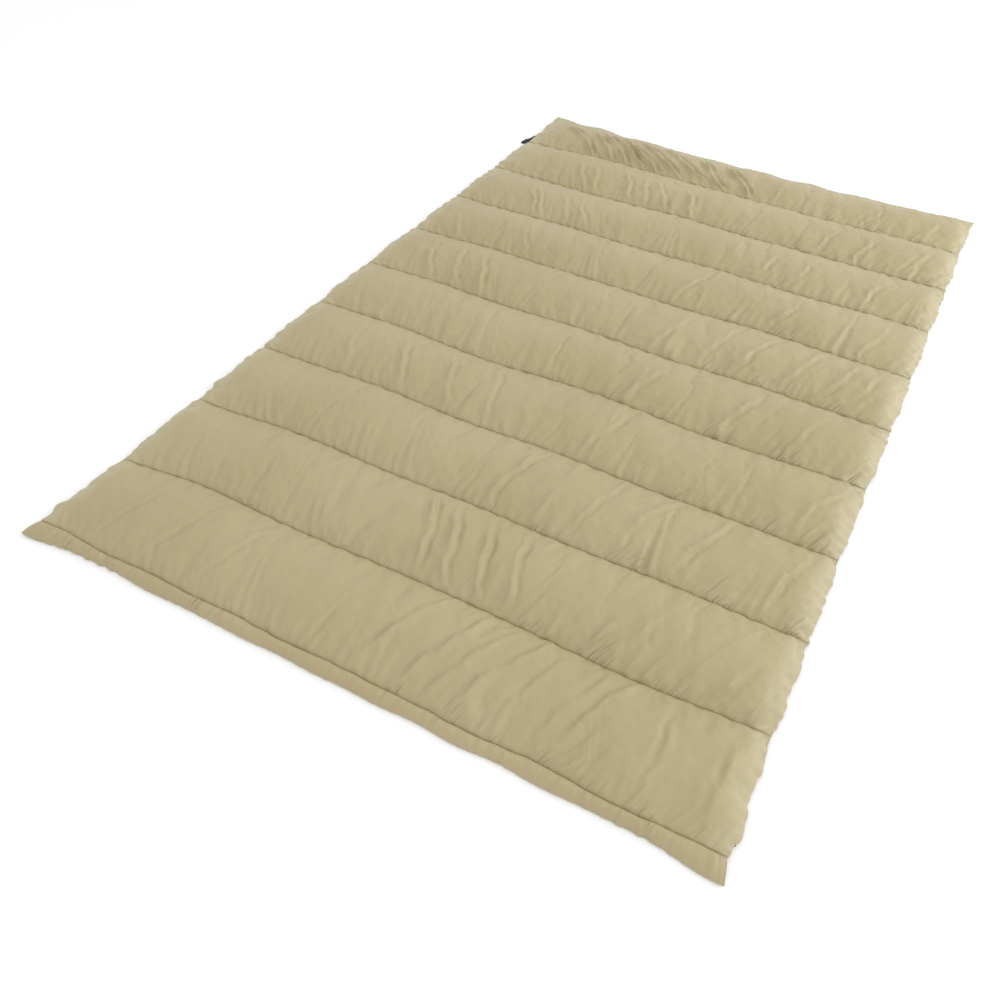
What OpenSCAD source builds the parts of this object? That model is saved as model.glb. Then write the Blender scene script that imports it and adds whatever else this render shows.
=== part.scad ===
// Camp quilt: a flat, sewn-through quilt of wadded channels, lying open on the ground.
// Frame: +X across to the quilt's right, +Y from the drawn hem to the far end, +Z up.
// Origin: the middle of the quilt's outline, on the ground. Units: millimetres.

/* [Quilt] */
// Length from the far edge to the drawn hem
quilt_length = 2000; // [1700:10:2300]
// Width over the fullest part of the channels
quilt_width = 1200; // [900:10:1500]
// Loft of a channel at its crown
loft = 42; // [30:1:60]
// Height at which shell and lining are sewn together along the side edges
edge_height = 12; // [11:1:14]
// How far the side edges draw in at each seam
scallop = 10; // [4:1:14]

/* [Cloth] */
// Thickness of the shell and lining cloth, with the wadding bonded to it
cloth = 0.8; // [0.6:0.1:1.2]
// Height of the needle side of a seam
seam_top = 8.5; // [8:0.1:9.5]
// Height of the bobbin side of a seam
seam_bottom = 5.5; // [4.5:0.1:6]
// Width of a row of stitching
thread_w = 1; // [0.6:0.1:1.4]
// Thickness of a row of stitching
thread_h = 0.75; // [0.5:0.05:0.9]

/* [Hem] */
// Width of the hem casing
hem_width = 34; // [28:1:45]
// Thickness of the hem casing
hem_thickness = 9; // [7:0.5:12]
// Diameter of the elastic cord inside the casing
hem_cord_d = 3; // [2:0.5:4]
// Distance of the sewn join in the casing from the middle, towards the left
hem_join = 258; // [100:10:400]

/* [Zip] */
// Width of the tape that shows past its stitching
tape_w = 16; // [12:1:20]
// Thickness of the tape
tape_t = 0.8; // [0.6:0.1:1]
// Diameter of the coil
coil_d = 3.6; // [3:0.2:4]
// Distance of the coil's middle from the fullest edge
coil_inset = 10; // [10:0.5:12]
// Distance of the slider's middle from the far edge, where it is parked
slider_from_far = 144; // [140:1:160]
// Distance of the coils' lower end from the near edge
zip_from_hem = 72; // [66:1:120]

/* [Slider] */
// Length of the slider
slider_l = 16; // [14:1:18]
// Width of the slider
slider_w = 8.6; // [8.2:0.1:9]
// Height of the slider
slider_h = 4.7; // [4.5:0.1:4.9]
// Length of the moulded grip
grip_l = 36; // [28:1:40]
// Width of the moulded grip
grip_w = 15; // [14:1:22]
// Thickness of the moulded grip
grip_t = 4; // [3:0.2:5]
// Length of the cord loop between the slider and the grip
loop_l = 22; // [16:1:26]

/* [Hidden] */
CHANNELS = 10;          // sewn channels along the quilt
PANELS = 5;             // folding panels, two channels each
PER_PANEL = CHANNELS / PANELS;
GAP = 0.4;              // clearance between the solids of two panels
EASE = 0.3;             // clearance between solids that slide or hang on each other
FACETS = 192;           // facets of a drawn circle, kept as a true curve
SIDES = 48;             // flat sides of a many-sided disc
BELLY = 4;              // how far the lining's curve would sag below the ground
ROUND_OFF = 46;         // width of the rounded shoulder and of the tucked underside at a side edge
SEAM_BAND = 1;          // half the width over which shell and lining are pressed together at a seam
half_w = quilt_width / 2;
far_y = quilt_length / 2;
near_y = -quilt_length / 2;
hem_y = near_y + hem_width;
pitch = (far_y - hem_y) / CHANNELS;
sewn_z = (seam_top + seam_bottom) / 2;

// Radius of the arc that has this half chord and this rise
function arc_r(half_chord, rise) = (half_chord * half_chord + rise * rise) / (2 * rise);
// Distance of seam k from the origin, counted from the far edge; seam 0 is the far edge and seam 10 the hem
function seam_at(k) = far_y - k * pitch;

crown_r = arc_r(pitch / 2, loft - seam_top);
belly_r = arc_r(pitch / 2, seam_bottom + BELLY);
scallop_r = arc_r(pitch / 2, scallop);
// Slope of a channel's crown where it leaves a seam
crown_slope = tan(2 * atan((loft - seam_top) / (pitch / 2)));
// Height at which a thread that reaches this far from a seam's middle lies clear of the crowns
function over_valley(reach) = seam_top + crown_slope * reach + EASE / 3;
SHOULDER_RISE = 1;      // the end view's top stands this far above the crowns, so that it never grazes them
top_z = loft + SHOULDER_RISE;
shoulder_r = arc_r(ROUND_OFF, top_z - edge_height);
tuck_r = arc_r(ROUND_OFF, edge_height);

coil_x = half_w - coil_inset;
coil_r = coil_d / 2;
tape_z = 0.8;
coil_z = tape_z + coil_r;
zip_top = far_y - 16;                   // upper end of the coils
zip_bottom = near_y + zip_from_hem;     // lower end of the coils
TAPE_PAST_COIL = 12;                    // length of tape past each end of the coil
STOP_L = 5;
STOP_W = 4.6;
FITTING_L = 15;                         // length of the retainer box and of the insertion pin
PIN_R = 1.7;
PIN_OUT = 7.6;                          // how far the pin stands outside the coil

slider_y = far_y - slider_from_far;
SLIDER_Z = 0.1;
TONGUE_L = 5;                           // length and thickness of the slider's tongue, which holds the post
TONGUE_T = 0.8;
TONGUE_Z = 0.3;
POST_OUT = 8;                           // distance of the post from the coil
POST_BACK = 5.5;                        // distance of the post from the slider's middle, towards the hem
POST_R = 1;
POST_H = 3.4;
HEAD_R = 2;
HEAD_H = 0.6;
EYE_R = 2.6;
CORD_T = 2;                             // thickness of the pull loop's cord
REST_ANGLE = 11;                        // the pull lies this far out from the zip, in degrees
GRIP_NECK = 9;                          // width of the grip where it takes the loop
post_x = -coil_x - POST_OUT;
post_y = slider_y - POST_BACK;
eye_z = TONGUE_Z + TONGUE_T + EASE;

SHELL = [0.73, 0.67, 0.53];
LINING = [0.66, 0.61, 0.48];
WADDING = [0.93, 0.93, 0.91];
THREAD = [0.55, 0.48, 0.33];
TRIM = [0.6, 0.56, 0.44];
BLACK = [0.06, 0.06, 0.06];

// Side view of one channel: a crowned top and a shallow belly, cut flat where it meets the ground
module side_view(inset) {
    intersection() {
        translate([0, loft - crown_r]) circle(r = crown_r - inset, $fn = FACETS);
        translate([0, belly_r - BELLY]) circle(r = belly_r - inset, $fn = FACETS);
        translate([-pitch, inset]) square([2 * pitch, 2 * loft]);
    }
}

// A disc with many flat sides, the first of them square to +X
module disc(r) {
    polygon([for (i = [0.5:SIDES]) r / cos(180 / SIDES) * [cos(i * 360 / SIDES), sin(i * 360 / SIDES)]]);
}

// One side of the end view: a rounded shoulder above the edge seam and a tucked underside below it
module end_view_side(inset) {
    intersection() {
        translate([half_w - ROUND_OFF, 0]) square([ROUND_OFF, top_z]);
        translate([half_w - ROUND_OFF, top_z - shoulder_r]) disc(shoulder_r - inset);
        translate([half_w - ROUND_OFF, tuck_r]) disc(tuck_r - inset);
    }
}

module end_view(inset) {
    translate([ROUND_OFF - half_w, inset]) square([quilt_width - 2 * ROUND_OFF, top_z - 2 * inset]);
    end_view_side(inset);
    mirror([1, 0]) end_view_side(inset);
}

// Outline of one channel seen from above, between two cuts: each side edge is a shallow arc
module outline(inset, near, far) {
    intersection() {
        union() {
            square([quilt_width - 2 * scallop - 2 * inset, 2 * pitch], center = true);
            for (side = [0, 1])
                mirror([side, 0])
                    intersection() {
                        translate([half_w - scallop_r, 0]) disc(scallop_r - inset);
                        translate([0, -pitch]) square([half_w, 2 * pitch]);
                    }
        }
        translate([-half_w, near]) square([quilt_width, far - near]);
    }
}

// Channel k as one stuffed solid, drawn in from its true surface by inset, and from its seams by the two ends
module channel(k, inset, near_end, far_end) {
    translate([0, seam_at(k - 0.5), 0])
        intersection() {
            rotate([90, 0, 90]) linear_extrude(height = quilt_width, center = true) side_view(inset);
            rotate([90, 0, 0]) linear_extrude(height = pitch, center = true) end_view(inset);
            linear_extrude(height = 2 * loft) outline(inset, near_end - pitch / 2, pitch / 2 - far_end);
        }
}

// The two channels of one panel, with or without the room for their wadding
module panel_skin(i) {
    first = PER_PANEL * (i - 1) + 1;
    difference() {
        union() {
            channel(first, 0, 0, i == 1 ? 0 : GAP / 2);
            channel(first + 1, 0, i == PANELS ? 0 : GAP / 2, 0);
        }
        for (k = [first, first + 1]) channel(k, cloth, SEAM_BAND, SEAM_BAND);
    }
}

// A slab as wide as the quilt, from one height up to another
module slab(low, high) {
    translate([-half_w, near_y, low]) cube([quilt_width, quilt_length, high - low]);
}

// Outer cloth of panel i, turned under at the side edges
module shell(i) {
    color(SHELL)
        intersection() {
            panel_skin(i);
            slab(sewn_z, 2 * loft);
        }
}

// Inner cloth of panel i, which lies on the ground
module lining(i) {
    color(LINING)
        intersection() {
            panel_skin(i);
            slab(0, sewn_z);
        }
}

// Wadding of channel k
module wadding(k) {
    color(WADDING) channel(k, cloth + EASE / 3, SEAM_BAND + EASE / 3, SEAM_BAND + EASE / 3);
}

// Needle thread and bobbin thread of seam k, in the valleys above and below it
module seam(k) {
    on_fold = k % PER_PANEL == 0;
    length = quilt_width - 2 * scallop - 4;
    y = seam_at(k) - (on_fold ? -GAP / 2 : thread_w / 2);
    z = over_valley(on_fold ? GAP / 2 + thread_w : thread_w / 2);
    color(THREAD) {
        translate([-length / 2, y, z]) cube([length, thread_w, thread_h]);
        translate([-length / 2, y, seam_bottom - 1.5 * thread_h]) cube([length, thread_w, thread_h]);
    }
}

// A flat tube with round edges, seen from its end, drawn in by inset
module casing_view(inset) {
    r = hem_thickness / 2;
    for (y = [near_y + r, hem_y - GAP - r])
        translate([y, r]) circle(r = r - inset, $fn = FACETS);
    translate([near_y + r, inset]) square([hem_width - GAP - 2 * r, hem_thickness - 2 * inset]);
}

// Casing along the near edge, closed at both ends, with the elastic inside
module hem_casing() {
    color(SHELL)
        difference() {
            rotate([90, 0, 90]) linear_extrude(height = quilt_width, center = true) casing_view(0);
            rotate([90, 0, 90])
                linear_extrude(height = quilt_width - 2 * cloth, center = true) casing_view(cloth);
        }
}

// Row that closes the casing, and the bar tack over the casing's join
module hem_stitching() {
    length = quilt_width - 2 * scallop - 4;
    tack_l = hem_width - hem_thickness;
    color(THREAD) {
        translate([-length / 2, hem_y, over_valley(thread_w)]) cube([length, thread_w, thread_h]);
        translate([-hem_join, near_y + hem_thickness / 2, hem_thickness])
            cube([thread_w, tack_l, thread_h]);
    }
}

module hem_elastic() {
    color(BLACK)
        translate([0, (near_y + hem_y) / 2, hem_thickness / 2])
            rotate([0, 90, 0])
                cylinder(h = quilt_width - 20, d = hem_cord_d, center = true, $fn = FACETS);
}

// Ends of zip piece i along the edge, near end first, when the whole zip runs between two places
function zip_near(i, bottom) = i == PANELS ? bottom : seam_at(PER_PANEL * i) + GAP / 2;
function zip_far(i, top) = i == 1 ? top : seam_at(PER_PANEL * (i - 1)) - GAP / 2;

// Tape of panel i along the right edge
module tape(i) {
    near = zip_near(i, zip_bottom - TAPE_PAST_COIL);
    far = zip_far(i, zip_top + TAPE_PAST_COIL);
    outer = coil_x - coil_r - 0.1;
    color(TRIM) translate([outer - tape_w, near, tape_z]) cube([tape_w, far - near, tape_t]);
}

module zip_tape_right(i) {
    tape(i);
}

module zip_tape_left(i) {
    mirror([1, 0, 0]) tape(i);
}

// Coil of panel i along the right edge, as a rod of its outer diameter
module coil(i) {
    near = zip_near(i, zip_bottom);
    far = zip_far(i, zip_top);
    color(TRIM)
        translate([coil_x, far, coil_z])
            rotate([90, 0, 0]) cylinder(h = far - near, r = coil_r, $fn = FACETS);
}

module zip_coil_right(i) {
    coil(i);
}

module zip_coil_left(i) {
    mirror([1, 0, 0]) coil(i);
}

// Stop crimped over the upper end of the right coil
module top_stop() {
    color(BLACK)
        translate([coil_x - coil_r, zip_top + 0.2, tape_z + tape_t + 0.1])
            cube([STOP_W, STOP_L, STOP_W - 1.6]);
}

module zip_top_stop_right() {
    top_stop();
}

module zip_top_stop_left() {
    mirror([1, 0, 0]) top_stop();
}

// Box at the lower end of the left coil, which takes the pin of the right half
module zip_retainer_box() {
    wall = 1;
    pocket_r = PIN_R + 0.2;
    box_w = 9;
    color(BLACK)
        translate([-coil_x, zip_bottom - 0.2, coil_z])
            difference() {
                translate([-box_w / 2, -FITTING_L, -coil_r]) cube([box_w, FITTING_L, coil_d + wall / 2]);
                translate([coil_r - box_w / 2 + 0.4, wall, 0.1])
                    rotate([90, 0, 0]) cylinder(h = FITTING_L, r = pocket_r - 0.5, $fn = FACETS);
                translate([0, -FITTING_L - wall, -coil_r - 0.1])
                    cube([box_w, FITTING_L + 2 * wall, tape_t + 0.3]);
            }
}

// Pin at the lower end of the right coil, standing a little outside the edge
module zip_insertion_pin() {
    color(BLACK)
        translate([coil_x, zip_bottom - 0.2, coil_z]) {
            translate([PIN_OUT, 0, 0]) rotate([90, 0, 0]) cylinder(h = FITTING_L, r = PIN_R, $fn = FACETS);
            translate([-coil_r, -FITTING_L, -coil_r + tape_t + 0.1])
                cube([PIN_OUT + coil_r, FITTING_L - 3, coil_d - tape_t - 0.6]);
        }
}

// Slider on the left coil: a body with a throat for coil and tape, and a post for the pull
module zip_slider() {
    tongue_x = -coil_x - POST_OUT - HEAD_R;
    color(BLACK) {
        difference() {
            translate([-coil_x - slider_w / 2, slider_y - slider_l / 2, SLIDER_Z])
                cube([slider_w, slider_l, slider_h]);
            translate([-coil_x, slider_y + slider_l, coil_z])
                rotate([90, 0, 0]) cylinder(h = 2 * slider_l, r = coil_r + 0.2, $fn = FACETS);
            translate([-coil_x, slider_y - slider_l, tape_z - EASE])
                cube([slider_w, 2 * slider_l, tape_t + 2 * EASE]);
        }
        difference() {
            translate([tongue_x, post_y - TONGUE_L / 2, TONGUE_Z])
                cube([POST_OUT + HEAD_R - coil_r - 0.6, TONGUE_L, TONGUE_T]);
            translate([-coil_x, slider_y, coil_z])
                rotate([90, 0, 0]) cylinder(h = 4 * slider_l, r = coil_r + 0.2, center = true, $fn = FACETS);
        }
        translate([post_x, post_y, TONGUE_Z]) cylinder(h = TONGUE_T + POST_H, r = POST_R, $fn = FACETS);
        translate([post_x, post_y, TONGUE_Z + TONGUE_T + POST_H]) cylinder(h = HEAD_H, r = HEAD_R, $fn = FACETS);
    }
}

// Puts the pull in place: its own +Y runs from the post towards the tip of the grip
module at_post() {
    translate([post_x, post_y, eye_z]) rotate([0, 0, 180 - REST_ANGLE]) children();
}

// Cord loop: an eye around the post and two strands that run into the grip
module zip_pull_loop() {
    strand_x = EYE_R - CORD_T / 2;
    color(BLACK)
        at_post()
            difference() {
                union() {
                    cylinder(h = CORD_T, r = EYE_R, $fn = FACETS);
                    translate([-EYE_R, 0, 0]) cube([2 * EYE_R, loop_l, CORD_T]);
                }
                translate([0, 0, -1]) cylinder(h = CORD_T + 2, r = POST_R + EASE, $fn = FACETS);
                translate([-strand_x / 3, EYE_R + 1, -1])
                    cube([2 * strand_x / 3, loop_l - EYE_R - 2, CORD_T + 2]);
            }
}

// Moulded grip, narrow at the loop and rounded at its tip
module zip_pull_grip() {
    tip_r = grip_w / 2;
    color(BLACK)
        at_post()
            translate([0, loop_l + 0.1, (CORD_T - grip_t) / 2])
                linear_extrude(height = grip_t) {
                    polygon([
                        [-GRIP_NECK / 2, 0],
                        [GRIP_NECK / 2, 0],
                        [grip_w / 2, grip_l * 0.3],
                        [grip_w / 2, grip_l - tip_r],
                        [-grip_w / 2, grip_l - tip_r],
                        [-grip_w / 2, grip_l * 0.3]
                    ]);
                    translate([0, grip_l - tip_r]) circle(r = tip_r, $fn = FACETS);
                }
}

shell(1);  // shell_1
shell(2);  // shell_2
shell(3);  // shell_3
shell(4);  // shell_4
shell(5);  // shell_5
lining(1);  // lining_1
lining(2);  // lining_2
lining(3);  // lining_3
lining(4);  // lining_4
lining(5);  // lining_5
wadding(1);  // wadding_1
wadding(2);  // wadding_2
wadding(3);  // wadding_3
wadding(4);  // wadding_4
wadding(5);  // wadding_5
wadding(6);  // wadding_6
wadding(7);  // wadding_7
wadding(8);  // wadding_8
wadding(9);  // wadding_9
wadding(10);  // wadding_10
seam(1);  // seam_1
seam(2);  // seam_2
seam(3);  // seam_3
seam(4);  // seam_4
seam(5);  // seam_5
seam(6);  // seam_6
seam(7);  // seam_7
seam(8);  // seam_8
seam(9);  // seam_9
hem_casing();
hem_stitching();
hem_elastic();
zip_tape_left(1);  // zip_tape_left_1
zip_tape_left(2);  // zip_tape_left_2
zip_tape_left(3);  // zip_tape_left_3
zip_tape_left(4);  // zip_tape_left_4
zip_tape_left(5);  // zip_tape_left_5
zip_tape_right(1);  // zip_tape_right_1
zip_tape_right(2);  // zip_tape_right_2
zip_tape_right(3);  // zip_tape_right_3
zip_tape_right(4);  // zip_tape_right_4
zip_tape_right(5);  // zip_tape_right_5
zip_coil_left(1);  // zip_coil_left_1
zip_coil_left(2);  // zip_coil_left_2
zip_coil_left(3);  // zip_coil_left_3
zip_coil_left(4);  // zip_coil_left_4
zip_coil_left(5);  // zip_coil_left_5
zip_coil_right(1);  // zip_coil_right_1
zip_coil_right(2);  // zip_coil_right_2
zip_coil_right(3);  // zip_coil_right_3
zip_coil_right(4);  // zip_coil_right_4
zip_coil_right(5);  // zip_coil_right_5
zip_top_stop_left();
zip_top_stop_right();
zip_retainer_box();
zip_insertion_pin();
zip_slider();
zip_pull_loop();
zip_pull_grip();
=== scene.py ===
"""Camp quilt: ten padded channels stitched across, an elastic hem at the near end and
half of a separating zip down each long side.  Every length is in metres."""

import bpy
import numpy as np
from mathutils import Matrix, Vector


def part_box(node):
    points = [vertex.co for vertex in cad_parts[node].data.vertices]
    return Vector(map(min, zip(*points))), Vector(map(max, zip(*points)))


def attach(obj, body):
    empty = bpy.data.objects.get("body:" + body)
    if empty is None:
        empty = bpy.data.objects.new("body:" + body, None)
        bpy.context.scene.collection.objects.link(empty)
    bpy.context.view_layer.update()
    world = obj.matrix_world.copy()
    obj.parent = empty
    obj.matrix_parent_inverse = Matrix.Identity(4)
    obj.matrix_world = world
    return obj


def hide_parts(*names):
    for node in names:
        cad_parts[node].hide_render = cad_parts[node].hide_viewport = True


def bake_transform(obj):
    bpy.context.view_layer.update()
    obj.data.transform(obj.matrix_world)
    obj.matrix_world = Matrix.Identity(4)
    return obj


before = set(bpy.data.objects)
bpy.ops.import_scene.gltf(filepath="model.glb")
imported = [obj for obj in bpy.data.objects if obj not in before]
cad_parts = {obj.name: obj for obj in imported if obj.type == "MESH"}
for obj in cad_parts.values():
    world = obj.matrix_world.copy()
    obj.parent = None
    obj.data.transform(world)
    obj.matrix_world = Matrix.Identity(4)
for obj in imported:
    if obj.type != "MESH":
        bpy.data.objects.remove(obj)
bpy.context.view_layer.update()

# ---------------------------------------------------------------- camera, floor and light


def place_camera():
    """A 34.9 mm lens on a 36 mm back, looking down at 44 degrees along the quilt from its
    near right side: the columns of the turn are right, up and back."""
    lens = bpy.data.cameras.new("studio_camera")
    lens.lens = 34.87
    lens.sensor_width = 36.0
    lens.clip_end = 50.0
    camera = bpy.data.objects.new("studio_camera", lens)
    right = Vector((0.8797, 0.4741, 0.0373))
    back = Vector((0.3196, -0.6475, 0.6918)).normalized()
    right = (right - back * right.dot(back)).normalized()
    up = back.cross(right)
    turn = Matrix((right, up, back)).transposed().to_4x4()
    camera.matrix_world = Matrix.Translation((0.5738, -1.6275, 1.1737)) @ turn
    bpy.context.scene.collection.objects.link(camera)
    bpy.context.scene.camera = camera


def soft_box(name, at, aim, width, power, colour=(1.0, 1.0, 1.0)):
    """A square lamp of the given width at one point, facing another."""
    lamp = bpy.data.lights.new(name, "AREA")
    lamp.shape = "SQUARE"
    lamp.size = width
    lamp.energy = power
    lamp.color = colour
    holder = bpy.data.objects.new(name, lamp)
    holder.location = at
    holder.rotation_euler = (Vector(aim) - Vector(at)).to_track_quat("-Z", "Y").to_euler()
    bpy.context.scene.collection.objects.link(holder)


def light_studio():
    """White surroundings, a low soft lamp behind on the right, and a weak one in front."""
    world = bpy.data.worlds.new("studio")
    bpy.context.scene.world = world
    world.use_nodes = True
    sky = world.node_tree.nodes["Background"]
    sky.inputs["Color"].default_value = (1.0, 1.0, 1.0, 1.0)
    sky.inputs["Strength"].default_value = 0.94
    soft_box("lamp_behind", (2.7, 2.2, 1.7), (0.0, 0.0, 0.0), 1.8, 54.0)
    soft_box("lamp_front", (1.9, -1.6, 2.6), (0.2, 0.0, 0.0), 2.4, 14.0)
    bpy.context.scene.view_settings.view_transform = "Standard"


# ---------------------------------------------------------------- shader groups and materials


class Nodes:
    """Adds nodes to a tree and joins them, so that a material reads as a list of steps."""

    def __init__(self, tree):
        self.tree = tree

    def add(self, kind, settings=None, **inputs):
        node = self.tree.nodes.new(kind)
        for name, value in (settings or {}).items():
            setattr(node, name, value)
        for name, value in inputs.items():
            self.set(node, name.replace("_", " "), value)
        return node

    def set(self, node, name, value):
        socket = node.inputs[name]
        if isinstance(value, bpy.types.NodeSocket):
            self.tree.links.new(value, socket)
        else:
            socket.default_value = value

    def math(self, operation, first, second=0.5, clamp=False):
        node = self.add("ShaderNodeMath", {"operation": operation, "use_clamp": clamp})
        for index, value in enumerate((first, second)):
            if isinstance(value, bpy.types.NodeSocket):
                self.tree.links.new(value, node.inputs[index])
            else:
                node.inputs[index].default_value = value
        return node.outputs[0]

    def mix(self, amount, first, second):
        node = self.add("ShaderNodeMix", {"data_type": "RGBA"})
        for index, value in ((0, amount), (6, first), (7, second)):
            if isinstance(value, bpy.types.NodeSocket):
                self.tree.links.new(value, node.inputs[index])
            else:
                node.inputs[index].default_value = value
        return node.outputs[2]


def new_group(name, inputs, outputs):
    """An empty shader group with named inputs (name, kind, value) and outputs (name, kind)."""
    group = bpy.data.node_groups.new(name, "ShaderNodeTree")
    for label, kind, value in inputs:
        socket = group.interface.new_socket(label, in_out="INPUT", socket_type=kind)
        socket.default_value = value
    for label, kind in outputs:
        group.interface.new_socket(label, in_out="OUTPUT", socket_type=kind)
    n = Nodes(group)
    return group, n, n.add("NodeGroupInput"), n.add("NodeGroupOutput")


FLOAT, COLOUR = "NodeSocketFloat", "NodeSocketColor"


def weave_group():
    """Plain weave: the height is the sum of two rows of ridges, one along X and one along Y,
    each a sine of the place times the thread count, and it fades with noise so that no
    two threads are alike."""
    group, n, given, out = new_group(
        "plain_weave",
        [("Threads", FLOAT, 1800.0), ("Unevenness", FLOAT, 0.4)],
        [("Height", FLOAT), ("Thread Shade", FLOAT)],
    )
    place = n.add("ShaderNodeTexCoord")
    split = n.add("ShaderNodeSeparateXYZ", Vector=place.outputs["Object"])
    fine = n.add("ShaderNodeTexNoise", Vector=place.outputs["Object"], Scale=420.0, Detail=3.0)
    rows = []
    for axis in ("X", "Y"):
        turned = n.math("MULTIPLY", split.outputs[axis], given.outputs["Threads"])
        rows.append(n.math("SINE", turned))
    both = n.math("MULTIPLY", rows[0], rows[1])
    rough = n.math("MULTIPLY", fine.outputs["Fac"], given.outputs["Unevenness"])
    height = n.math("ADD", n.math("MULTIPLY", both, 0.25), rough)
    n.tree.links.new(height, out.inputs["Height"])
    n.tree.links.new(fine.outputs["Fac"], out.inputs["Thread Shade"])
    return group


def colour_and_painted_light_group():
    """Colour of the cloth, with painted light and shade: the base colour goes a little towards a
    second one in soft clouds, towards a darker third as painted shade where the cloth is creased
    into a seam, and towards a lighter fourth as painted light on the side faces."""
    group, n, given, out = new_group(
        "cloth_colour_and_painted_light",
        [
            ("Base", COLOUR, (0.5, 0.42, 0.27, 1.0)),
            ("Cloud", COLOUR, (0.46, 0.39, 0.25, 1.0)),
            ("Crease", COLOUR, (0.3, 0.26, 0.14, 1.0)),
            ("Side", COLOUR, (0.5, 0.45, 0.3, 1.0)),
            ("Crease Mask", FLOAT, 0.0),
            ("Side Mask", FLOAT, 0.0),
        ],
        [("Color", COLOUR), ("Cloudiness", FLOAT)],
    )
    place = n.add("ShaderNodeTexCoord")
    clouds = n.add("ShaderNodeTexNoise", Vector=place.outputs["Object"], Scale=3.2, Detail=4.0)
    spread = n.add("ShaderNodeMapRange", Value=clouds.outputs["Fac"], From_Min=0.35, From_Max=0.7)
    colour = n.mix(spread.outputs[0], given.outputs["Base"], given.outputs["Cloud"])
    # Painted light on the side faces, then painted shade in the seam valleys.
    colour = n.mix(given.outputs["Side Mask"], colour, given.outputs["Side"])
    colour = n.mix(given.outputs["Crease Mask"], colour, given.outputs["Crease"])
    n.tree.links.new(colour, out.inputs["Color"])
    n.tree.links.new(spread.outputs[0], out.inputs["Cloudiness"])
    return group


def gather_group():
    """Fine gathers beside a seam, and faint crinkles everywhere: noises that are stretched
    away from the seam, each folded at its middle value so that it makes sharp little
    ridges.  The gather mask fades the first."""
    group, n, given, out = new_group(
        "seam_gathers",
        [("Run", FLOAT, 0.0), ("Reach", FLOAT, 0.0), ("Mask", FLOAT, 0.0)],
        [("Height", FLOAT)],
    )
    place = n.add("ShaderNodeCombineXYZ", X=given.outputs["Run"])
    n.set(place, "Y", n.math("MULTIPLY", given.outputs["Reach"], 0.22))
    ridges = []
    for scale, detail in ((80.0, 1.2), (22.0, 3.0), (55.0, 2.0)):
        noise = n.add("ShaderNodeTexNoise", Vector=place.outputs[0], Scale=scale, Detail=detail)
        folded = n.math("ABSOLUTE", n.math("SUBTRACT", noise.outputs["Fac"], 0.5))
        ridges.append(n.math("SUBTRACT", 0.25, folded))
    fine = n.math("MULTIPLY", ridges[0], given.outputs["Mask"])
    broad = n.math("MULTIPLY", ridges[1], 0.42)
    papery = n.math("MULTIPLY", ridges[2], 0.10)
    n.tree.links.new(n.math("ADD", fine, n.math("ADD", broad, papery)), out.inputs["Height"])
    return group


WEAVE, COLOUR_AND_PAINTED_LIGHT, GATHERS = weave_group(), colour_and_painted_light_group(), gather_group()


def srgb(red, green, blue):
    """A colour given as 0 to 255 on a screen, as the light it stands for."""
    value = np.array((red, green, blue)) / 255.0
    light = np.where(value <= 0.04045, value / 12.92, ((value + 0.055) / 1.055) ** 2.4)
    return (*light.tolist(), 1.0)


def surface(name, roughness=0.6, metallic=0.0, **constant):
    """A material with one Principled shader whose constant sockets are set directly."""
    material = bpy.data.materials.new(name)
    material.use_nodes = True
    shader = material.node_tree.nodes["Principled BSDF"]
    shader.inputs["Roughness"].default_value = roughness
    shader.inputs["Metallic"].default_value = metallic
    for label, value in constant.items():
        shader.inputs[label.replace("_", " ")].default_value = value
    return material, Nodes(material.node_tree), shader


def cloth_material(name, base, cloud, painted_seam_shade, side, roughness=0.54, threads=1800.0, depth=0.12):
    """Plain weave: colour from the colour group, with painted shade in the seam valleys and painted
    light on the side faces, roughness that follows the clouds, and the weave group's threads as a bump."""
    material, n, shader = surface(name, roughness, Sheen_Weight=0.12, Sheen_Roughness=0.4)
    shader.inputs["Specular IOR Level"].default_value = 0.35
    weave = n.add("ShaderNodeGroup", {"node_tree": WEAVE}, Threads=threads, Unevenness=0.5)
    colour_and_painted_light = n.add("ShaderNodeGroup", {"node_tree": COLOUR_AND_PAINTED_LIGHT}, Base=base, Cloud=cloud, Crease=painted_seam_shade, Side=side)
    # The valley attribute masks the painted seam shade, and the wall attribute masks the painted side light.
    valley = n.add("ShaderNodeAttribute", {"attribute_name": "valley"})
    wall = n.add("ShaderNodeAttribute", {"attribute_name": "wall"})
    n.set(colour_and_painted_light, "Crease Mask", valley.outputs["Fac"])
    n.set(colour_and_painted_light, "Side Mask", wall.outputs["Fac"])
    n.set(shader, "Base Color", colour_and_painted_light.outputs["Color"])
    dull = n.math("MULTIPLY", colour_and_painted_light.outputs["Cloudiness"], 0.08)
    n.set(shader, "Roughness", n.math("ADD", dull, roughness - 0.04))
    gathers = n.add("ShaderNodeGroup", {"node_tree": GATHERS})
    for label, source in (("Run", "run"), ("Reach", "reach"), ("Mask", "gather")):
        n.set(gathers, label, n.add("ShaderNodeAttribute", {"attribute_name": source}).outputs["Fac"])
    large = n.add("ShaderNodeBump", Strength=0.9, Distance=0.0170, Height=gathers.outputs["Height"])
    small = n.add("ShaderNodeBump", Strength=depth, Distance=0.0004, Height=weave.outputs["Height"])
    n.set(small, "Normal", large.outputs[0])
    n.set(shader, "Normal", small.outputs[0])
    return material


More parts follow.
